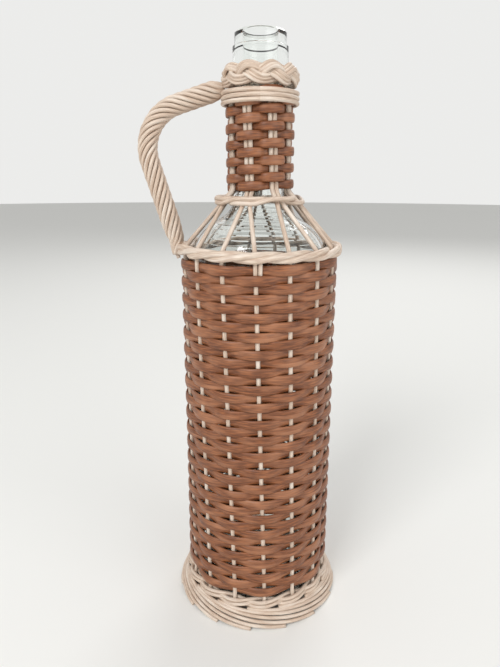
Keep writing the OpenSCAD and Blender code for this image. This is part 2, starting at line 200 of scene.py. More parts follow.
@dataclass(frozen=True)
class Section:
    """Section of a rod or flat reed, in millimetres.

    Attributes:
        crown: Half thickness on the outer side.
        inner: Half thickness on the inner side.
        half_width: Half of the width.
        fullness: 1 gives an ellipse, and less a squarer form.
        sides: Faces round the section.
        uneven: Share by which the size wanders along the length.
    """
    crown: float
    inner: float
    half_width: float
    fullness: float
    sides: int
    uneven: float

    def outline(self, turn: np.ndarray) -> tuple[np.ndarray, np.ndarray]:
        """Goes round the section.

        Args:
            turn: Angles round it, in radians.

        Returns:
            How far out and how far sideways the skin lies at each angle.
        """
        c, s = np.cos(turn), np.sin(turn)
        c = np.sign(c) * np.abs(c) ** self.fullness
        s = np.sign(s) * np.abs(s) ** self.fullness
        return np.where(c > 0, self.crown, self.inner) * c, self.half_width * s

    def size_along(self, length: np.ndarray, seed: float) -> np.ndarray:
        """Lets the size wander along a rod.

        Args:
            length: Length along the rod at each point.
            seed: Start of the wandering, so that rods differ.

        Returns:
            Factor on the size at each point.
        """
        slow = np.sin(length / SLOW_MM + seed)
        quick = np.sin(length / QUICK_MM + 2.3 * seed)
        return 1 + self.uneven * (slow + 0.6 * quick)


def round_rod(d: float, sides: int = 12, uneven: float = 0.03) -> Section:
    """Section of a round rod."""
    return Section(d / 2, d / 2, d / 2, fullness=1.0, sides=sides, uneven=uneven)


def flat_reed(width: float, crown: float) -> Section:
    """Section of a flat reed with a low crown and soft edges."""
    return Section(crown, inner=0.6, half_width=width / 2, fullness=0.75, sides=12, uneven=0.02)


def finished(bm: bmesh.types.BMesh, name: str) -> bpy.types.Object:
    """Turns a bmesh into a piece of the scene.

    Args:
        bm: The bmesh, which is freed.
        name: Name of the piece.

    Returns:
        The piece.
    """
    mesh = bpy.data.meshes.new(name)
    bm.to_mesh(mesh)
    bm.free()
    piece = bpy.data.objects.new(name, mesh)
    bpy.context.scene.collection.objects.link(piece)
    return piece


def sweep(name: str, path: Path, outward: Path, section: Section, seed: float,
          closed: bool = False, widen: np.ndarray | None = None) -> bpy.types.Object:
    """Sweeps a section along a path.

    Args:
        name: Name of the piece.
        path: Points along its middle, in millimetres.
        outward: Direction of the crown at each point, or one for all.
        section: What is swept.
        seed: Start of the pattern, so that pieces differ.
        closed: Whether the path joins its own start.
        widen: Factor on the width at each point.

    Returns:
        The piece, with its length along U and the way round along V.
    """
    count = len(path)
    last = count if closed else count - 1
    out, side = axes_along(path, outward, closed)
    length = run_length(path)
    total = length[-1] + (np.linalg.norm(path[0] - path[-1]) if closed else 0)
    size = np.ones(count) if closed else section.size_along(length, seed)
    widen = np.ones(count) if widen is None else widen
    bm = bmesh.new()
    uv = bm.loops.layers.uv.new("UVMap")
    bmesh.ops.create_grid(bm, x_segments=last, y_segments=section.sides, size=0.5, calc_uvs=True)
    xs = np.array([v.co.x for v in bm.verts])
    ys = np.array([v.co.y for v in bm.verts])
    at = np.rint((xs - xs.min()) / np.ptp(xs) * last).astype(int) % count
    thick, wide = section.outline((ys - ys.min()) / np.ptp(ys) * 2 * math.pi)
    thick = (thick * size[at])[:, None]
    wide = (wide * size[at] * widen[at])[:, None]
    spots = (path[at] + out[at] * thick + side[at] * wide) * MM
    for face in bm.faces:
        face.smooth = True
        for loop in face.loops:
            u, v = loop[uv].uv
            loop[uv].uv = (u * total / PATTERN_MM + seed, v)
    for vert, spot in zip(bm.verts, spots):
        vert.co = spot
    bmesh.ops.remove_doubles(bm, verts=bm.verts, dist=MERGE)
    if not closed:
        rim = [e for e in bm.edges if e.is_boundary]
        bmesh.ops.holes_fill(bm, edges=rim, sides=section.sides)
    bmesh.ops.recalc_face_normals(bm, faces=bm.faces)
    return finished(bm, name)


class Shade:
    """A number on a shader socket, with the operators that the finishes use."""

    def __init__(self, tree: bpy.types.NodeTree, socket: bpy.types.NodeSocket) -> None:
        """Wraps an output socket of a node tree."""
        self.tree = tree
        self.socket = socket

    def _math(self, operation: str, *values: "Shade | float") -> "Shade":
        """Adds one Math node.

        Args:
            operation: What it works out.
            *values: Values or links of its sockets, in order.

        Returns:
            Its result.
        """
        node = self.tree.nodes.new("ShaderNodeMath")
        node.operation = operation
        for i, value in enumerate(values):
            if isinstance(value, Shade):
                self.tree.links.new(value.socket, node.inputs[i])
            else:
                node.inputs[i].default_value = value
        return Shade(self.tree, node.outputs[0])

    def __add__(self, other: "Shade | float") -> "Shade":
        """Sum."""
        return self._math("ADD", self, other)

    def __sub__(self, other: "Shade | float") -> "Shade":
        """Difference."""
        return self._math("SUBTRACT", self, other)

    def __rsub__(self, other: float) -> "Shade":
        """Difference from a number."""
        return self._math("SUBTRACT", other, self)

    def __mul__(self, other: "Shade | float") -> "Shade":
        """Product."""
        return self._math("MULTIPLY", self, other)

    __radd__ = __add__
    __rmul__ = __mul__

    def clamp(self) -> "Shade":
        """Held between 0 and 1."""
        return self._math("MAXIMUM", self._math("MINIMUM", self, 1.0), 0.0)

    def above(self, start: float, gain: float) -> "Shade":
        """0 up to start, and from there growing by gain until it is 1."""
        return ((self - start) * gain).clamp()


class Finish:
    """A material under construction."""

    def __init__(self, name: str) -> None:
        """Starts a material with a Principled shader.

        Args:
            name: Name of the material.
        """
        self.material = bpy.data.materials.new(name)
        self.material.use_nodes = True
        self.tree = self.material.node_tree
        self.shader = self.tree.nodes["Principled BSDF"]

    def node(self, kind: str, settings: dict[str, object] | None = None, **inputs: object) -> bpy.types.Node:
        """Adds a node.

        Args:
            kind: Node type.
            settings: Properties, set first.
            **inputs: Values or links of sockets, by name with spaces as underscores.

        Returns:
            The node.
        """
        made = self.tree.nodes.new(kind)
        for key, value in (settings or {}).items():
            setattr(made, key, value)
        for key, value in inputs.items():
            self.feed(made.inputs[key.replace("_", " ")], value)
        return made

    def feed(self, socket: bpy.types.NodeSocket, value: object) -> None:
        """Sets or links one socket.

        Args:
            socket: The socket.
            value: A number, a colour, a socket or a Shade.
        """
        if isinstance(value, Shade):
            self.tree.links.new(value.socket, socket)
        elif isinstance(value, bpy.types.NodeSocket):
            self.tree.links.new(value, socket)
        else:
            socket.default_value = value

    def noise(self, coords: Coords, scale: Triple, detail: float) -> Shade:
        """Adds a noise.

        Args:
            coords: Where it is read.
            scale: How much it is squeezed along each axis.
            detail: How fine it gets.

        Returns:
            Its value.
        """
        where = self.node("ShaderNodeTexCoord").outputs[coords.value]
        mapped = self.node("ShaderNodeMapping", Vector=where, Scale=scale)
        noise = self.node("ShaderNodeTexNoise", Vector=mapped.outputs[0], Scale=1.0, Detail=detail)
        return Shade(self.tree, noise.outputs["Fac"])

    def blend(self, factor: Shade, low: Triple | bpy.types.NodeSocket, high: Triple) -> bpy.types.NodeSocket:
        """Mixes two colours.

        Args:
            factor: 0 gives low, and 1 gives high.
            low: A colour or the result of an earlier blend.
            high: A colour.

        Returns:
            The mixed colour.
        """
        mix = self.node("ShaderNodeMix", {"data_type": "RGBA"}, Factor=factor)
        first, second = (s for s in mix.inputs if s.type == "RGBA")
        self.feed(first, low if isinstance(low, bpy.types.NodeSocket) else (*low, 1.0))
        self.feed(second, (*high, 1.0))
        return next(s for s in mix.outputs if s.type == "RGBA")

    def bump(self, height: Shade, distance: float, strength: float) -> None:
        """Feeds a height to the normal."""
        node = self.node("ShaderNodeBump", Height=height, Distance=distance, Strength=strength)
        self.feed(self.shader.inputs["Normal"], node.outputs[0])


@dataclass(frozen=True)
class Grain:
    """How the three patterns of peeled wood are squeezed.

    Attributes:
        coords: Where they are read.
        fibres: Squeeze of the long fibres.
        patches: Squeeze of the lighter patches, which are painted highlight on the dyed reed and worn spots
            on the willow.
        knots: Squeeze of the knots and stains.
    """
    coords: Coords
    fibres: Triple
    patches: Triple
    knots: Triple


@dataclass(frozen=True)
class ReedFinish:
    """Peeled willow or dyed reed: long fibres, patches and a satin skin.

    Attributes:
        name: Name of the material.
        deep: Colour in the fibres.
        plain: Main colour.
        light: Colour of the lighter patches: painted highlight on the dyed reed, worn spots on the willow.
        grain: How the patterns lie.
        rough: Roughness where the fibres are smoothest.
        relief: Strength of the fibres' relief.
        wear_and_highlight: How strong the lighter patches get: painted highlight on the dyed reed, worn spots
            on the willow.
        stain: How strong the stains get.
        fibre_rough: How much rougher it gets along the fibres.
        relief_depth: Depth of the fibres, in metres.
    """
    name: str
    deep: Triple
    plain: Triple
    light: Triple
    grain: Grain
    rough: float
    relief: float
    wear_and_highlight: float = 0.75
    stain: float = 0.35
    fibre_rough: float = 0.22
    relief_depth: float = 0.0002

    def make(self) -> bpy.types.Material:
        """Builds the material.

        Returns:
            The material.
        """
        finish = Finish(self.name)
        grain = self.grain
        fine = finish.noise(grain.coords, grain.fibres, detail=4.0)
        patch = finish.noise(grain.coords, grain.patches, detail=2.0)
        knot = finish.noise(grain.coords, grain.knots, detail=3.0)
        colour = finish.blend(fine.above(start=0.42, gain=4.0), self.deep, self.plain)
        # Lighter patches: painted highlight on the dyed reed, worn spots on the willow.
        colour = finish.blend(patch.above(start=0.45, gain=3.2) * self.wear_and_highlight, colour, self.light)
        colour = finish.blend(knot.above(start=0.60, gain=5.0) * self.stain, colour, self.deep)
        finish.feed(finish.shader.inputs["Base Color"], colour)
        finish.feed(finish.shader.inputs["Roughness"], (fine * self.fibre_rough + self.rough).clamp())
        finish.bump(fine, self.relief_depth, self.relief)
        return finish.material


@dataclass(frozen=True)
class GlassFinish:
    """Clear bottle glass with a faint green cast and slow ripples.

    Attributes:
        tint: Colour of the glass.
        ior: Index of refraction.
        ripples: Squeeze of the ripples.
        ripple_depth: Depth of the ripples, in metres.
        ripple_relief: Strength of the ripples' relief.
        haze: Squeeze of the haze.
        haze_rough: Roughness where the haze is strongest.
    """
    tint: Triple = (0.965, 0.985, 0.970)
    ior: float = 1.5
    ripples: Triple = (55.0, 55.0, 22.0)
    ripple_depth: float = 0.0006
    ripple_relief: float = 0.25
    haze: Triple = (180.0, 180.0, 90.0)
    haze_rough: float = 0.05

    def make(self) -> bpy.types.Material:
        """Builds the material.

        Returns:
            The material.
        """
        finish = Finish("bottle_glass")
        finish.feed(finish.shader.inputs["Base Color"], (*self.tint, 1.0))
        finish.feed(finish.shader.inputs["Transmission Weight"], 1.0)
        finish.feed(finish.shader.inputs["IOR"], self.ior)
        ripple = finish.noise(Coords.OBJECT, self.ripples, detail=1.0)
        haze = finish.noise(Coords.OBJECT, self.haze, detail=2.0)
        finish.feed(finish.shader.inputs["Roughness"], (haze * self.haze_rough).clamp())
        finish.bump(ripple, self.ripple_depth, self.ripple_relief)
        return finish.material


ALONG_ROD = Grain(Coords.OWN_LENGTH, fibres=(1.4, 26.0, 1.0), patches=(0.45, 0.7, 1.0), knots=(2.2, 3.0, 1.0))
ON_SOLID = Grain(Coords.OBJECT, fibres=(900.0, 900.0, 120.0), patches=(60.0, 60.0, 60.0),
                 knots=(260.0, 260.0, 260.0))
WILLOW = {"deep": (0.52, 0.38, 0.29), "plain": (0.78, 0.655, 0.53), "light": (0.88, 0.80, 0.71)}
# The dyed reed's light colour is a painted highlight, laid in patches.
BROWN = {"deep": (0.13, 0.040, 0.014), "plain": (0.335, 0.116, 0.040), "light": (0.50, 0.225, 0.115)}
willow = ReedFinish("willow_along_rod", **WILLOW, grain=ALONG_ROD, rough=0.40, relief=0.5).make()
willow_solid = ReedFinish("willow_on_solid", **WILLOW, grain=ON_SOLID, rough=0.42, relief=0.4).make()
brown = ReedFinish("brown_reed", **BROWN, grain=ALONG_ROD, rough=0.32, relief=0.8).make()
glass = GlassFinish().make()


def dress(piece: bpy.types.Object, material: bpy.types.Material, slot: Slot, *nodes: str) -> None:
    """Gives a piece its finish, hangs it on the body and hides the solids that it stands in for.

    Args:
        piece: The piece.
        material: Its finish.
        slot: Its slot in the record; not used.
        *nodes: Solids that it stands in for.
    """
    piece.data.materials.append(material)
    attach(piece, BODY)
    if nodes:
        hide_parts(*nodes)
    log.info("%s: %d faces", piece.name, len(piece.data.polygons))


@dataclass
class Jacket:
    """Sizes that the pieces share, in millimetres and degrees.

    Attributes:
        stakes: Number of uprights.
        stake_d: Diameter of an upright.
        glass_r: Radius of the glass body.
        neck_r: Radius of the glass neck.
        weaver_t: Thickness of the brown reeds.
        play: Room for a reed between the glass and a stake, beyond its thickness.
        touch: Room between rods that lie on each other.
        pair_play: Room between the stakes of one group on the neck.
        front_turn: Turn of the front stake at the shoulder.
        body_lean: How far the stakes turn on their way up the body.
        neck_lean: How far they turn on their way up the neck.
        spoke_z: Height of the stakes under the bottle.
        foot_z: Height where they have come upright.
        shoulder_z: Height where they start inwards.
        neck_z: Height where they start up the neck.
        top_z: Height of their upper ends.
        wale_z: Height of the shoulder wale.
        neck_wale_z: Height of the wale at the foot of the neck.
        flare: How much wider the stakes stand at the bottom.
        step: Turn from stake to stake.
        stake_r: Radius of the ring of stakes round the body.
        body_over: Radius that a reed clears where it passes over a stake of the body.
        neck_stake_r: Radius of the ring of stakes round the neck.
        neck_over: Radius that a reed clears where it passes over a group on the neck.
        wale_stake_r: Radius of the ring of stakes in the neck's wale.
        groups: Number of groups on the neck.
        triple: The group that has three stakes.
    """
    stakes: int = 15
    stake_d: float = 2.4
    glass_r: float = 39.8
    neck_r: float = 13.2
    weaver_t: float = 1.2
    play: float = 0.3
    touch: float = 0.1
    pair_play: float = 0.15
    front_turn: float = -2.8
    body_lean: float = 8.8
    neck_lean: float = 8.0
    spoke_z: float = 4.0
    foot_z: float = 18.0
    shoulder_z: float = 221.0
    neck_z: float = 251.5
    top_z: float = 302.7
    wale_z: float = 220.2
    neck_wale_z: float = 246.2
    flare: float = 1.7
    step: float = field(init=False)
    stake_r: float = field(init=False)
    body_over: float = field(init=False)
    neck_stake_r: float = field(init=False)
    neck_over: float = field(init=False)
    wale_stake_r: float = field(init=False)
    groups: int = field(init=False)
    triple: int = field(init=False)

    def __post_init__(self) -> None:
        """Works out the radii and the groups on the neck."""
        self.step = 360 / self.stakes
        self.stake_r = self.glass_r + self.weaver_t + self.play + self.stake_d / 2
        self.body_over = self.stake_r + self.stake_d / 2 / math.cos(math.radians(self.step))
        self.neck_stake_r = self.neck_r + self.weaver_t + self.play + self.stake_d / 2
        gap = 2 * self.step - self.pair_turn(1, self.neck_stake_r)
        self.neck_over = self.neck_stake_r + self.stake_d / 2 / math.cos(math.radians(gap))
        self.groups = (self.stakes - 1) // 2
        self.triple = round((self.groups + 1) / 2)
        share = (self.neck_wale_z - self.shoulder_z) / (self.neck_z - self.shoulder_z)
        self.wale_stake_r = self.stake_r + (self.neck_stake_r - self.stake_r) * share

    def pair_turn(self, place: float, r: float) -> float:
        """Turn from the middle of a group to a stake that lies place stakes beside it, at radius r."""
        return math.degrees(math.asin(place * (self.stake_d + self.pair_play) / r))

    def group_of(self, m: int) -> int:
        """Finds a stake's group on the neck.

        Args:
            m: Number of the stake, counted round the neck.

        Returns:
            Number of its group.
        """
        if m < 2 * self.triple:
            return m // 2
        return self.triple if m < 2 * self.triple + 3 else (m - 1) // 2

    def group_first(self, g: int) -> int:
        """First stake of group g."""
        return 2 * g if g <= self.triple else 2 * g + 1

    def group_size(self, g: int) -> int:
        """Stakes in group g."""
        return 3 if g == self.triple else 2

    def group_turn(self, g: int) -> float:
        """Finds where a group stands round the neck.

        Args:
            g: Number of the group, which may count on past a full turn.

        Returns:
            Turn of its middle.
        """
        low = g % self.groups
        middle = self.group_first(low) + (self.group_size(low) - 1) / 2 - 1
        return middle * self.step + self.front_turn + 360 * (g // self.groups)

    def turn_at(self, u: float) -> float:
        """Finds a place on the way from group to group.

        Args:
            u: Number of the group that was passed, and the share of the way to the next.

        Returns:
            Turn of the place.
        """
        low = math.floor(u)
        here, ahead = self.group_turn(low), self.group_turn(low + 1)
        return here + (ahead - here) * (u - low)

    def foot_turn(self, k: float) -> float:
        """Turn of stake k at the foot."""
        return k * self.step + self.front_turn + self.body_lean

    def body_share(self, z: float) -> float:
        """Share of the way up the body at height z."""
        return (z - self.foot_z) / (self.shoulder_z - self.foot_z)

    def neck_share(self, z: float) -> float:
        """Share of the way up the neck at height z."""
        return (z - self.neck_z) / (self.top_z - self.neck_z)

    def body_point(self, k: int, z: float) -> np.ndarray:
        """Finds a point on a stake of the body.

        Args:
            k: Number of the stake.
            z: Height of the point.

        Returns:
            The point.
        """
        low = polar(self.stake_r, self.foot_turn(k), self.foot_z)
        high = polar(self.stake_r, self.foot_turn(k) - self.body_lean, self.shoulder_z)
        return low + (high - low) * self.body_share(z)

    def neck_turn(self, k: int, r: float) -> float:
        """Finds where a stake comes to the foot of the neck.

        Args:
            k: Number of the stake.
            r: Radius of the ring of stakes there.

        Returns:
            Turn of the stake.
        """
        m = (k + 1) % self.stakes
        g = self.group_of(m)
        place = m - self.group_first(g) - (self.group_size(g) - 1) / 2
        return self.group_turn(g) - self.neck_lean / 2 + self.pair_turn(place, r)

    def neck_point(self, k: int, z: float) -> np.ndarray:
        """Finds a point on a stake of the neck.

        Args:
            k: Number of the stake.
            z: Height of the point.

        Returns:
            The point.
        """
        turn = self.neck_turn(k, self.neck_stake_r)
        low = polar(self.neck_stake_r, turn, self.neck_z)
        high = polar(self.neck_stake_r, turn - self.neck_lean, self.top_z)
        return low + (high - low) * self.neck_share(z)


@dataclass
class Stakes:
    """Pale uprights, from under the bottle to the collar.

    Attributes:
        jacket: Sizes that the pieces share.
        start_r: Radius of their inner ends under the bottle.
        bend: Radius of a sharp bend.
        upright_bend: Radius of the slow bend above the foot.
        wale_bend: Radius of the bend in the neck's wale.
        uneven: Share by which their thickness wanders.
        next_pattern: Step from the pattern of one stake to that of the next.
    """
    jacket: Jacket
    start_r: float = 15.5
    bend: float = 4.0
    upright_bend: float = 48.0
    wale_bend: float = 8.0
    uneven: float = 0.015
    next_pattern: float = 7.3

    def build(self) -> None:
        """Makes and dresses each stake."""
        jacket = self.jacket
        bends = [self.bend, self.upright_bend, self.bend, self.wale_bend, self.bend]
        rod = round_rod(jacket.stake_d, uneven=self.uneven)
        for k in range(jacket.stakes):
            turn = jacket.foot_turn(k)
            points = np.array([
                polar(self.start_r, turn, jacket.spoke_z),
                polar(jacket.stake_r + jacket.flare, turn, jacket.spoke_z),
                jacket.body_point(k, jacket.foot_z),
                jacket.body_point(k, jacket.shoulder_z),
                polar(jacket.wale_stake_r, jacket.neck_turn(k, jacket.wale_stake_r), jacket.neck_wale_z),
                jacket.neck_point(k, jacket.neck_z),
                jacket.neck_point(k, jacket.top_z)])
            path = dense(bent(points, bends, steps=6), step=2.0)
            piece = sweep(f"stake_{k + 1}_rod", path, polar(1, turn + 90, 0), rod, self.next_pattern * k)
            dress(piece, willow, Slot.WILLOW, f"stake_{k + 1}")


@dataclass
class BodyWeave:
    """Brown flat reed that climbs the body, over one stake and behind the next.

    Attributes:
        jacket: Sizes that the pieces share.
        pitch: Climb in one round.
        start_z: Height of its first end.
        rows: Rounds.
        short: Stakes by which the last round falls short.
        width: Width of the reed.
        crown: Half thickness on the outer side.
        tuck: How much it is pressed in by the stakes.
        swell: Share by which it is wider over a stake.
        wobble: Share by which its width wobbles.
        wobble_rate: How fast it wobbles, in radians from stake to stake.
        drift: How far the rows wander up and down, slowly and quickly.
        drift_rate: How fast they wander, in radians from stake to stake.
        per: Steps from stake to stake.
        pattern: Start of the pattern.
    """
    jacket: Jacket
    pitch: float = 4.92
    start_z: float = 18.7
    rows: int = 40
    short: int = 3
    width: float = 5.45
    crown: float = 1.0
    tuck: float = 0.42
    swell: float = 0.05
    wobble: float = 0.03
    wobble_rate: float = 2.1
    drift: tuple[float, float] = (0.16, 0.10)
    drift_rate: tuple[float, float] = (0.37, 1.13)
    per: int = 8
    pattern: float = 3.0

    def build(self) -> None:
        """Makes and dresses the weaver."""
        jacket = self.jacket
        start = round(jacket.stakes / 2)
        over = jacket.body_over + jacket.weaver_t / 2 - self.tuck
        behind = (jacket.glass_r + jacket.stake_r - jacket.stake_d / 2) / 2 + 2 * self.tuck
        spots, widen = [], []
        for j in range((jacket.stakes * self.rows - self.short) * self.per + 1):
            i = j / self.per
            z = self.start_z + self.pitch * i / jacket.stakes
            turn = jacket.foot_turn(start + i) - jacket.body_lean * jacket.body_share(z)
            wave = -math.cos(math.pi * i)
            slow = self.drift[0] * math.sin(self.drift_rate[0] * i)
            quick = self.drift[1] * math.sin(self.drift_rate[1] * i + 1)
            spots.append(polar(between(behind, over, wave), turn, z + slow + quick))
            widen.append(1 + self.swell * wave + self.wobble * math.sin(self.wobble_rate * i))
        path = np.array(spots)
        piece = sweep("body_weaver_reed", path, radial(path), flat_reed(self.width, self.crown),
                      self.pattern, widen=np.array(widen))
        dress(piece, brown, Slot.WEAVER, "body_weaver")


@dataclass
class NeckWeave:
    """Brown flat reed that climbs the neck, over one group of stakes and behind the next.

    Attributes:
        jacket: Sizes that the pieces share.
        pitch: Climb in one round.
        start_z: Height of its first end.
        rows: Rounds.
        short: Groups by which the last round falls short.
        width: Width of the reed.
        crown: Half thickness on the outer side.
        play: Room between the reed and a group that it passes over.
        square: How long it stays over a group: 1 is a plain wave, and less is longer.
        swell: Share by which it is wider over a group.
        per: Steps from group to group.
        pattern: Start of the pattern.
    """
    jacket: Jacket
    pitch: float = 4.22
    start_z: float = 251.9
    rows: int = 12
    short: int = 2
    width: float = 4.6
    crown: float = 0.9
    play: float = 0.05
    square: float = 0.55
    swell: float = 0.10
    per: int = 12
    pattern: float = 41.0

    def build(self) -> None:
        """Makes and dresses the weaver."""
        jacket = self.jacket
        over = jacket.neck_over + jacket.weaver_t / 2 + self.play
        behind = (jacket.neck_r + jacket.neck_stake_r - jacket.stake_d / 2) / 2
        first = jacket.triple
        spots, widen = [], []
        for j in range((jacket.groups * self.rows - self.short) * self.per + 1):
            u = first + j / self.per
            turn = jacket.turn_at(u)
            z = self.start_z + self.pitch * (turn - jacket.group_turn(first)) / 360
            lean = jacket.neck_lean * (jacket.neck_share(z) + 0.5)
            plain_wave = -math.cos(math.pi * u)
            wave = math.copysign(abs(plain_wave) ** self.square, plain_wave)
            spots.append(polar(between(behind, over, wave), turn - lean, z))
            widen.append(1 + self.swell * plain_wave)
        path = np.array(spots)
        piece = sweep("neck_weaver_reed", path, radial(path), flat_reed(self.width, self.crown),
                      self.pattern, widen=np.array(widen))
        dress(piece, brown, Slot.WEAVER, "neck_weaver")


@dataclass
class Foot:
    """Rolled border and twined rows at the foot.

    Attributes:
        jacket: Sizes that the pieces share.
        border_d: Diameter of a border rod.
        foot_r: Outer radius of the border.
        out: How far a rod moves outwards along its run.
        drop: How far it comes down along its run.
        span: Stakes that it passes on its run.
        flat: How much is worn off where the rods stand.
        lead: Share by which the run is longer at its hidden end.
        border_uneven: Share by which a rod's thickness wanders.
        border_steps: Points along a border rod.
        border_pattern: Step from the pattern of one border rod to that of the next.
        twine_d: Height of a twined row's wave and half the rise from row to row.
        twine_z: Height of the lower row.
        twine_full: Factor from twine_d to the strand's diameter.
        twine_steps: Steps from stake to stake.
        twine_pattern: Start of the pattern of the lower row.
    """
    jacket: Jacket
    border_d: float = 2.1
    foot_r: float = 51.4
    out: float = 4.1
    drop: float = 8.5
    span: float = 4.0
    flat: float = 0.3
    lead: float = 0.55
    border_uneven: float = 0.02
    border_steps: int = 60
    border_pattern: float = 5.1
    twine_d: float = 1.3
    twine_z: float = 12.1
    twine_full: float = 1.7
    twine_steps: int = 10
    twine_pattern: float = 90.0

    def build(self) -> None:
        """Makes and dresses the border and both twined rows."""
        path = self.border_path()
        for k in range(1, self.jacket.stakes + 1):
            self.build_border_rod(k, turned(path, k * self.jacket.step))
        for row, name in enumerate(("foot_twine_lower", "foot_twine_upper")):
            self.build_twine(row, name)

    def border_path(self) -> Path:
        """Lays one rod as a tilted arc, so that its neighbours pass under it and over it.

        Returns:
            Points along the rod.
        """
        half = math.radians(self.span * self.jacket.step / 2)
        across = self.out / (2 * math.sin(half))
        down = self.drop / (2 * math.sin(half))
        ring_r = self.foot_r - self.border_d / 2 - self.out / 2
        tilt = math.asin(down / ring_r)
        middle_z = self.drop / 2 + self.border_d / 2 - self.flat
        a = np.linspace(-half * (1 + self.lead), half, self.border_steps)
        x, y = ring_r * np.cos(a), ring_r * np.sin(a)
        return np.stack([x, y * math.cos(tilt) + across, middle_z - y * math.sin(tilt)], axis=1)

    def build_border_rod(self, k: int, path: Path) -> None:
        """Makes and dresses one border rod, worn flat where it stands.

        Args:
            k: Number of the rod. The first stands in for the whole border.
            path: Points along it.
        """
        rod = round_rod(self.border_d, uneven=self.border_uneven)
        piece = sweep(f"foot_border_rod_{k}", path, radial(path), rod, self.border_pattern * k)
        for vert in piece.data.vertices:
            vert.co.z = max(vert.co.z, 0.0)
        dress(piece, willow, Slot.WILLOW, *(["foot_border"] if k == 1 else []))

    def build_twine(self, row: int, name: str) -> None:
        """Makes and dresses one twined row, whose strand goes round twice.

        Args:
            row: 0 for the lower row and 1 for the upper one.
            name: Its solid.
        """
        jacket = self.jacket
        z = self.twine_z + 2 * self.twine_d * row
        r = jacket.stake_r + jacket.flare * (jacket.foot_z - z) / (jacket.foot_z - jacket.spoke_z)
        swing = (jacket.stake_d + self.twine_d) / 2 + jacket.touch
        spots = []
        for t in np.arange(2 * jacket.stakes * self.twine_steps) / self.twine_steps:
            height = z + self.twine_d / 2 * math.sin(math.pi * t)
            spots.append(polar(r + swing * math.cos(math.pi * t), jacket.foot_turn(t), height))
        path = np.array(spots)
        strand = round_rod(self.twine_d * self.twine_full, sides=10)
        piece = sweep(f"{name}_strand", path, radial(path), strand, self.twine_pattern + row, closed=True)
        dress(piece, willow, Slot.WILLOW, name)


@dataclass(frozen=True)
class Stroke:
    """One stroke of a wale's rod: in front of two stakes and behind the third.

    Attributes:
        reach: How far in front of the stakes it lies at each step, and -1 is behind them.
        lift: How high it lies at each step, from -1 to 1.
    """
    reach: tuple[float, ...]
    lift: tuple[float, ...]


SHOULDER_STROKE = Stroke(reach=(-1, 0, 1, 1, 1, 0), lift=(0, -1, -1, 0, 1, 1))
NECK_STROKE = Stroke(reach=(-1, -0.75, 0.55, 1, 1, 1, 1, 1, 1, 1, 0.55, -0.75),
                     lift=(0, -0.5, -1, -1, -1, -1, 0, 1, 1, 1, 1, 0.5))


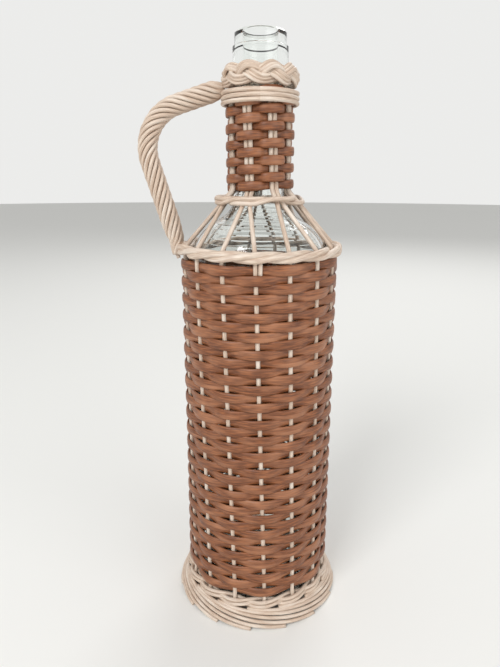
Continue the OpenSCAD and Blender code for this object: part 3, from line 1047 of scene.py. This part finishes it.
@dataclass
class Wales:
    """Three-rod wales at the shoulder and at the foot of the neck.

    Attributes:
        jacket: Sizes that the pieces share.
        rod_d: Diameter of a shoulder rod.
        neck_rod_d: Diameter of a neck rod.
        rods: Rods in each wale.
        full: Factor on the diameters of the rods.
        sink: How far the shoulder wale is beaten down.
        cross_play: Room between rods that cross.
        neck_play: Room between the neck's stakes and rods.
        end_gap: Share of a stake's step that is left at both ends of a rod.
        tail_len: Length of the spare end.
        tail_d: Diameter of the spare end.
        tail_gap: Room between it and its stake.
        tail_out: How far it stands outside the ring of stakes.
        tail_below: Room between it and the wale.
        pattern: Start of the shoulder wale's pattern.
        tail_pattern: Start of the spare end's pattern.
        neck_pattern: Start of the neck wale's pattern.
        rise: Height of a shoulder rod's middle over the wale's middle where it is highest.
        reach: How far in front of the stakes a shoulder rod lies.
        low_z: Underside of the shoulder wale.
        high_z: Top of the shoulder wale.
    """
    jacket: Jacket
    rod_d: float = 2.7
    neck_rod_d: float = 2.2
    rods: int = 3
    full: float = 1.2
    sink: float = 0.5
    cross_play: float = 0.06
    neck_play: float = 0.35
    end_gap: float = 0.04
    tail_len: float = 6.4
    tail_d: float = 2.2
    tail_gap: float = 0.2
    tail_out: float = 0.8
    tail_below: float = 0.3
    pattern: float = 120.0
    tail_pattern: float = 160.0
    neck_pattern: float = 170.0
    rise: float = field(init=False)
    reach: float = field(init=False)
    low_z: float = field(init=False)
    high_z: float = field(init=False)

    def __post_init__(self) -> None:
        """Works out how the shoulder wale lies."""
        self.rise = self.rod_d / 2 + self.cross_play
        self.reach = (self.jacket.stake_d + self.rod_d) / 2 + self.jacket.touch
        self.low_z = self.jacket.wale_z - self.rise - self.rod_d / 2
        self.high_z = self.jacket.wale_z + self.rise + self.rod_d / 2

    def build(self) -> None:
        """Makes and dresses all wale rods and the spare end."""
        for j in range(1, self.rods + 1):
            self.build_shoulder_rod(j)
        for j in range(1, self.rods + 1):
            self.build_neck_rod(j)
        self.build_tail()

    def strokes(self, stroke: Stroke, j: int, count: int) -> Iterator[tuple[float, float, float]]:
        """Follows rod j of a wale.

        Args:
            stroke: The stroke that it repeats.
            j: Number of the rod, which is also where it starts.
            count: Stakes or groups that it passes.

        Yields:
            Place along the stakes, reach and lift at each step.
        """
        per = len(stroke.reach) // self.rods
        for i in range(per * count + 1):
            place = j + min(max(i / per, self.end_gap), count - self.end_gap)
            at = i % len(stroke.reach)
            yield place, stroke.reach[at], stroke.lift[at]

    def build_shoulder_rod(self, j: int) -> None:
        """Makes and dresses rod j of the shoulder wale.

        Args:
            j: Number of the rod.
        """
        jacket = self.jacket
        middle_z = jacket.wale_z - self.sink
        path = smooth([polar(jacket.stake_r + reach * self.reach, u * jacket.step + jacket.front_turn,
                             middle_z + lift * self.rise)
                       for u, reach, lift in self.strokes(SHOULDER_STROKE, j, jacket.stakes)], per=6)
        piece = sweep(f"shoulder_wale_{j}", path, radial(path), round_rod(self.rod_d * self.full),
                      self.pattern + NEXT_PATTERN * j)
        dress(piece, willow, Slot.WILLOW, f"shoulder_wale_rod_{j}")

    def build_neck_rod(self, j: int) -> None:
        """Makes and dresses rod j of the wale at the foot of the neck.

        Args:
            j: Number of the rod.
        """
        jacket = self.jacket
        rise = self.neck_rod_d / 2 + self.cross_play
        slope = math.atan2(jacket.stake_r - jacket.neck_stake_r, jacket.neck_z - jacket.shoulder_z)
        reach_r = (jacket.stake_d + self.neck_rod_d) / 2 / math.cos(slope) + self.neck_play
        count = round(jacket.groups / self.rods) * self.rods
        path = smooth([polar(jacket.wale_stake_r + reach * reach_r, jacket.turn_at(u) - jacket.neck_lean / 2,
                             jacket.neck_wale_z + lift * rise)
                       for u, reach, lift in self.strokes(NECK_STROKE, j, count)], per=5)
        piece = sweep(f"neck_wale_{j}", path, radial(path), round_rod(self.neck_rod_d * self.full),
                      self.neck_pattern + NEXT_PATTERN * j)
        dress(piece, willow, Slot.WILLOW, f"neck_wale_rod_{j}")

    def build_tail(self) -> None:
        """Makes and dresses the spare end beside the front stake."""
        jacket = self.jacket
        top = self.low_z - self.tail_below
        x, y, _ = jacket.body_point(0, top)
        beside = math.asin((jacket.stake_d + self.tail_gap) / jacket.stake_r)
        turn = math.degrees(math.atan2(x, -y) + beside)
        r = jacket.stake_r + self.tail_out
        path = dense(np.array([polar(r, turn, top - self.tail_len), polar(r, turn, top)]), step=1.0)
        piece = sweep("wale_tail_rod", path, polar(1, turn, 0), round_rod(self.tail_d), self.tail_pattern)
        dress(piece, willow, Slot.WILLOW, "wale_tail")


@dataclass
class Collar:
    """Lashing and the nine-reed plait in three strands round the mouth.

    Attributes:
        jacket: Sizes that the pieces share.
        lash_d: Diameter of a lashing reed.
        lash_z: Height of the lowest one.
        lash_pitch: Rise from one to the next.
        lash_play: Room between the lashing and what it lies on.
        lash_sway: How far the lashing wanders outwards.
        lash_wave: How far the lashing wanders up and down.
        lash_pattern: Start of the lashing's pattern.
        under_z: Underside of the plait.
        tall: Height of the plait.
        outer_r: Outer radius of the plait.
        ring_r: Inner radius of the plait.
        strand_t: Thickness of a strand.
        cross_play: Room between strands that cross, on either side.
        cross_lift: Factor on how far strands lift to cross.
        slack: How much narrower than its room the plait lies.
        inset: How far it stays inside its outer radius.
        tilt: Tilt of the plait's face, in degrees.
        fan: How far the strands swing up and down from it, in degrees.
        reed_d: Diameter of a reed.
        reed_step: Distance from reed to reed in a strand.
        repeats: How often the plait repeats in a round.
        pattern: Start of the plait's pattern.
    """
    jacket: Jacket
    lash_d: float = 2.3
    lash_z: float = 296.0
    lash_pitch: float = 2.4
    lash_play: float = 0.15
    lash_sway: float = 0.12
    lash_wave: float = 0.14
    lash_pattern: float = 210.0
    under_z: float = 300.9
    tall: float = 14.7
    outer_r: float = 20.6
    ring_r: float = 14.7
    strand_t: float = 1.9
    cross_play: float = 0.15
    cross_lift: float = 1.15
    slack: float = 0.6
    inset: float = 0.2
    tilt: float = 10.0
    fan: float = 38.0
    reed_d: float = 2.05
    reed_step: float = 1.65
    repeats: int = 3
    pattern: float = 240.0

    def build(self) -> None:
        """Makes and dresses the lashing and the plait."""
        for j in (1, 2, 3):
            self.build_lash(j)
        for j in (1, 2, 3):
            self.build_strand(j)

    def build_lash(self, j: int) -> None:
        """Makes and dresses one turn of the lashing.

        Args:
            j: Number of the turn, from below.
        """
        r = self.jacket.neck_over + self.jacket.weaver_t + self.lash_play + self.lash_d / 2
        z = self.lash_z + (j - 1) * self.lash_pitch
        path = np.array([polar(r + self.lash_sway * math.sin(math.radians(3 * a)), a,
                               z + self.lash_wave * math.sin(math.radians(2 * a + 60 * j)))
                         for a in np.arange(0, 360, 3.0)])
        piece = sweep(f"neck_lash_{j}", path, radial(path), round_rod(self.lash_d),
                      self.lash_pattern + NEXT_PATTERN * j, closed=True)
        dress(piece, willow, Slot.WILLOW, f"neck_lash_reed_{j}")

    def build_strand(self, j: int) -> None:
        """Makes and dresses the three reeds of one strand.

        Args:
            j: Number of the strand. Its middle reed stands in for the solid.
        """
        layer = self.strand_t / 2 + self.cross_play
        half_wide = (self.outer_r - self.ring_r - self.strand_t) / 2 - self.slack
        half_tall = self.tall / 2 - self.strand_t / 2 - layer
        mid_r = self.outer_r - self.strand_t / 2 - layer - half_wide - self.inset
        mid_z = self.under_z + self.tall / 2
        lay, face = [], []
        for a in np.arange(0, 360, 2.0):
            phase = math.radians(self.repeats * a + 120 * j)
            lean = math.radians(self.tilt + self.fan * math.sin(phase))
            lift = layer * self.cross_lift * math.sin(2 * phase)
            lay.append(polar(mid_r + (half_wide + lift) * math.cos(lean), a,
                             mid_z + (half_tall + lift) * math.sin(lean)))
            face.append(polar(math.cos(lean), a, math.sin(lean)))
        path = np.array(lay)
        out, side = axes_along(path, np.array(face), closed=True)
        for i, shift in enumerate((-self.reed_step, 0.0, self.reed_step)):
            piece = sweep(f"collar_strand_{j}_reed_{i + 1}", path + side * shift, out,
                          round_rod(self.reed_d, sides=10), self.pattern + 11 * j + 3 * i, closed=True)
            dress(piece, willow, Slot.WILLOW, *([f"collar_strand_{j}"] if i == 1 else []))


@dataclass
class Handle:
    """Twisted handle: a core and nine rods, lashed at both ends.

    Attributes:
        jacket: Sizes that the pieces share.
        wale: The wales, for the tie that goes over the one at the shoulder.
        core_d: Diameter of the core.
        rod_d: Diameter of a rod.
        rods: Rods round the core.
        twist: Length of one turn of the rods.
        top: X and Z of the core's upper end.
        corner: X and Z where the two arms would meet.
        foot_x: X of the lower arm's end.
        foot_above: Height of that end above the shoulder wale.
        bend: Radius of the bend.
        tuck: X and Z where the rods go into the lashing.
        tail: How far the rods run down past the wale.
        tail_bend: Radius of the bend into that run.
        taper: Length over which the rods draw together, at the top and at the foot.
        pinch: Share of the radius that is left at both ends.
        tie_lean: How far the tie's upper end leans outwards, and lies below the handle's end.
        tie_over: How far below the wale the tie turns in.
        tie_drop: How far below the wale the tie ends.
        tie_bend: Radius of the tie's bend.
        core_pattern: Start of the core's pattern.
        pattern: Start of the rods' pattern.
        tie_pattern: Start of the tie's pattern.
        foot_z: Height of the lower arm's end.
    """
    jacket: Jacket
    wale: Wales
    core_d: float = 6.4
    rod_d: float = 2.2
    rods: int = 9
    twist: float = 42.0
    top: tuple[float, float] = (-22.9, 302.9)
    corner: tuple[float, float] = (-67.5, 288.5)
    foot_x: float = -47.4
    foot_above: float = 1.9
    bend: float = 24.0
    tuck: tuple[float, float] = (-19.5, 304.0)
    tail: float = 9.0
    tail_bend: float = 3.0
    taper: tuple[float, float] = (7.0, 20.0)
    pinch: float = 0.32
    tie_lean: float = 0.9
    tie_over: float = 0.6
    tie_drop: float = 4.0
    tie_bend: float = 4.0
    core_pattern: float = 300.0
    pattern: float = 320.0
    tie_pattern: float = 410.0
    foot_z: float = field(init=False)

    def __post_init__(self) -> None:
        """Sets the lower end above the wale."""
        self.foot_z = self.wale.high_z + self.foot_above

    def build(self) -> None:
        """Makes and dresses the core, the rods and the tie."""
        self.build_core()
        self.build_rods()
        self.build_tie()

    def lay(self, places: list[tuple[float, float]], bends: list[float], steps: int, step: float) -> Path:
        """Lays a path in the handle's plane.

        Args:
            places: X and Z of its corners.
            bends: Radius at each inner corner.
            steps: Steps along each arc.
            step: Distance from point to point.

        Returns:
            Points along the path.
        """
        corners = np.array([(x, 0.0, z) for x, z in places])
        return dense(bent(corners, bends, steps), step)

    def build_core(self) -> None:
        """Makes and dresses the core."""
        path = self.lay([self.top, self.corner, (self.foot_x, self.foot_z)], [self.bend], steps=24, step=1.2)
        rod = round_rod(self.core_d, sides=16, uneven=0.0)
        piece = sweep("handle_core_rod", path, ACROSS, rod, self.core_pattern)
        dress(piece, willow, Slot.WILLOW, "handle_core")

    def build_rods(self) -> None:
        """Makes and dresses the rods that twist round the core."""
        places = [self.tuck, self.corner, (self.foot_x, self.foot_z), (self.foot_x, self.foot_z - self.tail)]
        path = self.lay(places, [self.bend, self.tail_bend], steps=24, step=1.0)
        across, inward = axes_along(path, ACROSS, closed=False)
        s = np.linspace(0, run_length(path)[-1], len(path))
        near = np.minimum(s / self.taper[0], (s[-1] - s) / self.taper[1]).clip(0, 1)
        r = (self.core_d + self.rod_d) / 2 + self.jacket.touch
        r = r * (self.pinch + (1 - self.pinch) * np.sin(near * math.pi / 2))
        for j in range(1, self.rods + 1):
            a = 2 * math.pi * (j / self.rods - s / self.twist)
            out = across * np.sin(a)[:, None] - inward * np.cos(a)[:, None]
            piece = sweep(f"handle_rod_{j}_twisted", path + r[:, None] * out, out, round_rod(self.rod_d),
                          self.pattern + NEXT_PATTERN * j)
            dress(piece, willow, Slot.WILLOW, f"handle_rod_{j}")

    def build_tie(self) -> None:
        """Makes and dresses the tie that holds the lower end over the shoulder wale."""
        jacket = self.jacket
        wale = self.wale
        outer = jacket.stake_r + wale.reach + (wale.rod_d + self.rod_d) / 2 + jacket.touch
        inner = jacket.body_over + jacket.weaver_t + self.rod_d / 2 + jacket.touch
        places = [(-outer - self.tie_lean, self.foot_z - self.tie_lean), (-outer, wale.low_z - self.tie_over),
                  (-inner, wale.low_z - self.tie_drop)]
        path = self.lay(places, [self.tie_bend], steps=6, step=0.8)
        piece = sweep("handle_tie_rod", path, ACROSS, round_rod(self.rod_d), self.tie_pattern)
        dress(piece, willow, Slot.WILLOW, "handle_tie")


class Kept:
    """Solids of the frame that show as they are."""

    def build(self) -> None:
        """Gives the glass and the base their finishes."""
        finishes = {"glass_bottle": glass}
        for name in ("base_cross_lower", "base_cross_upper", "base_weaver"):
            finishes[name] = willow_solid
        for name, material in finishes.items():
            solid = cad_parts[name]
            solid.data.materials.clear()
            solid.data.materials.append(material)
            log.info("%s keeps its solid", name)


@dataclass(frozen=True)
class Lamp:
    """A soft square lamp.

    Attributes:
        name: Name of the lamp.
        place: Where it hangs, in metres.
        size: Length of its side, in metres.
        power: Power, in watts.
    """
    name: str
    place: Triple
    size: float
    power: float

    def build(self, target: Triple) -> None:
        """Hangs the lamp so that it faces a target.

        Args:
            target: Point that it faces, in metres.
        """
        data = bpy.data.lights.new(self.name, "AREA")
        data.size = self.size
        data.energy = self.power
        lamp = bpy.data.objects.new(self.name, data)
        aim = (Vector(target) - Vector(self.place)).to_track_quat("-Z", "Y")
        lamp.matrix_world = Matrix.Translation(self.place) @ aim.to_matrix().to_4x4()
        bpy.context.scene.collection.objects.link(lamp)


@dataclass
class Studio:
    """Floor, world, lamps and the camera at the photograph's view.

    Attributes:
        focal_px: Focal length, in pixels of the photograph.
        frame_px: Height of the photograph, in pixels.
        eye_mm: Where the camera stands, in millimetres.
        yaw: Turn of the camera from straight ahead, in degrees.
        pitch: How far it looks down, in degrees.
        roll: How far it leans, in degrees.
        sensor: Height of the camera's sensor, in millimetres.
        floor_r: Radius of the floor, in metres.
        floor_colour: Colour of the floor.
        floor_rough: Roughness of the floor.
        sky: Colour of the world.
        sky_light: Strength of the world on the object.
        sky_seen: How much stronger the world is where it is seen.
        target: Point that the lamps face, in metres.
        lamps: The lamps.
    """
    focal_px: float = 552.56
    frame_px: float = 667.0
    eye_mm: Triple = (0.0, -317.87, 257.85)
    yaw: float = -0.935
    pitch: float = 15.708
    roll: float = 0.123
    sensor: float = 36.0
    floor_r: float = 6.0
    floor_colour: Triple = (0.84, 0.84, 0.82)
    floor_rough: float = 0.9
    sky: Triple = (1.0, 1.0, 0.985)
    sky_light: float = 0.56
    sky_seen: float = 0.28
    target: Triple = (0.0, 0.0, 0.16)
    lamps: tuple[Lamp, ...] = (Lamp("key", (-0.7, -1.2, 1.2), 0.7, 15.0),
                               Lamp("fill", (1.1, -1.0, 0.7), 1.2, 6.5),
                               Lamp("rim", (0.4, 1.3, 1.3), 0.9, 8.0))

    def build(self) -> None:
        """Sets up everything that isn't the object."""
        self.build_floor()
        self.build_world()
        for lamp in self.lamps:
            lamp.build(self.target)
        self.build_camera()

    def build_floor(self) -> None:
        """Makes a plain pale floor."""
        bm = bmesh.new()
        bmesh.ops.create_circle(bm, cap_ends=True, segments=96, radius=self.floor_r)
        floor = finished(bm, "floor")
        finish = Finish("pale_floor")
        finish.feed(finish.shader.inputs["Base Color"], (*self.floor_colour, 1.0))
        finish.feed(finish.shader.inputs["Roughness"], self.floor_rough)
        floor.data.materials.append(finish.material)

    def build_world(self) -> None:
        """Lights softly and shows a pale background to camera, glossy and transmission rays."""
        world = bpy.data.worlds.new("studio")
        bpy.context.scene.world = world
        world.use_nodes = True
        tree = world.node_tree
        path = tree.nodes.new("ShaderNodeLightPath")
        camera, glossy, through = (Shade(tree, path.outputs[f"Is {kind} Ray"])
                                   for kind in ("Camera", "Glossy", "Transmission"))
        seen = (camera + glossy + through).clamp()
        strength = seen * self.sky_seen + self.sky_light
        back = tree.nodes["Background"]
        back.inputs["Color"].default_value = (*self.sky, 1.0)
        tree.links.new(strength.socket, back.inputs["Strength"])

    def build_camera(self) -> None:
        """Puts the camera where the photograph was taken."""
        yaw, pitch, roll = (math.radians(a) for a in (self.yaw, self.pitch, self.roll))
        ahead = Vector((math.sin(yaw) * math.cos(pitch), math.cos(yaw) * math.cos(pitch), -math.sin(pitch)))
        right = Vector((math.cos(yaw), -math.sin(yaw), 0.0))
        up = right.cross(ahead)
        side = right * math.cos(roll) + up * math.sin(roll)
        top = up * math.cos(roll) - right * math.sin(roll)
        data = bpy.data.cameras.new("camera")
        data.sensor_fit = "VERTICAL"
        data.sensor_height = self.sensor
        data.lens = self.focal_px * self.sensor / self.frame_px
        camera = bpy.data.objects.new("camera", data)
        turn = Matrix((side, top, -ahead)).transposed().to_4x4()
        camera.matrix_world = Matrix.Translation(Vector(self.eye_mm) * MM) @ turn
        bpy.context.scene.collection.objects.link(camera)
        bpy.context.scene.camera = camera


def plain(box: Sequence[Sequence[float]]) -> list[list[float]]:
    """A box as plain lists of numbers."""
    return [[float(c) for c in corner] for corner in box]


def main() -> None:
    """Builds every sub-assembly in order."""
    logging.basicConfig(level=logging.INFO)
    bpy.context.scene.view_settings.view_transform = "Standard"
    jacket = Jacket()
    wales = Wales(jacket)
    Studio().build()
    for part in (Kept(), Stakes(jacket), BodyWeave(jacket), NeckWeave(jacket), Foot(jacket), wales,
                 Collar(jacket), Handle(jacket, wales)):
        part.build()


if __name__ == "__main__":
    main()
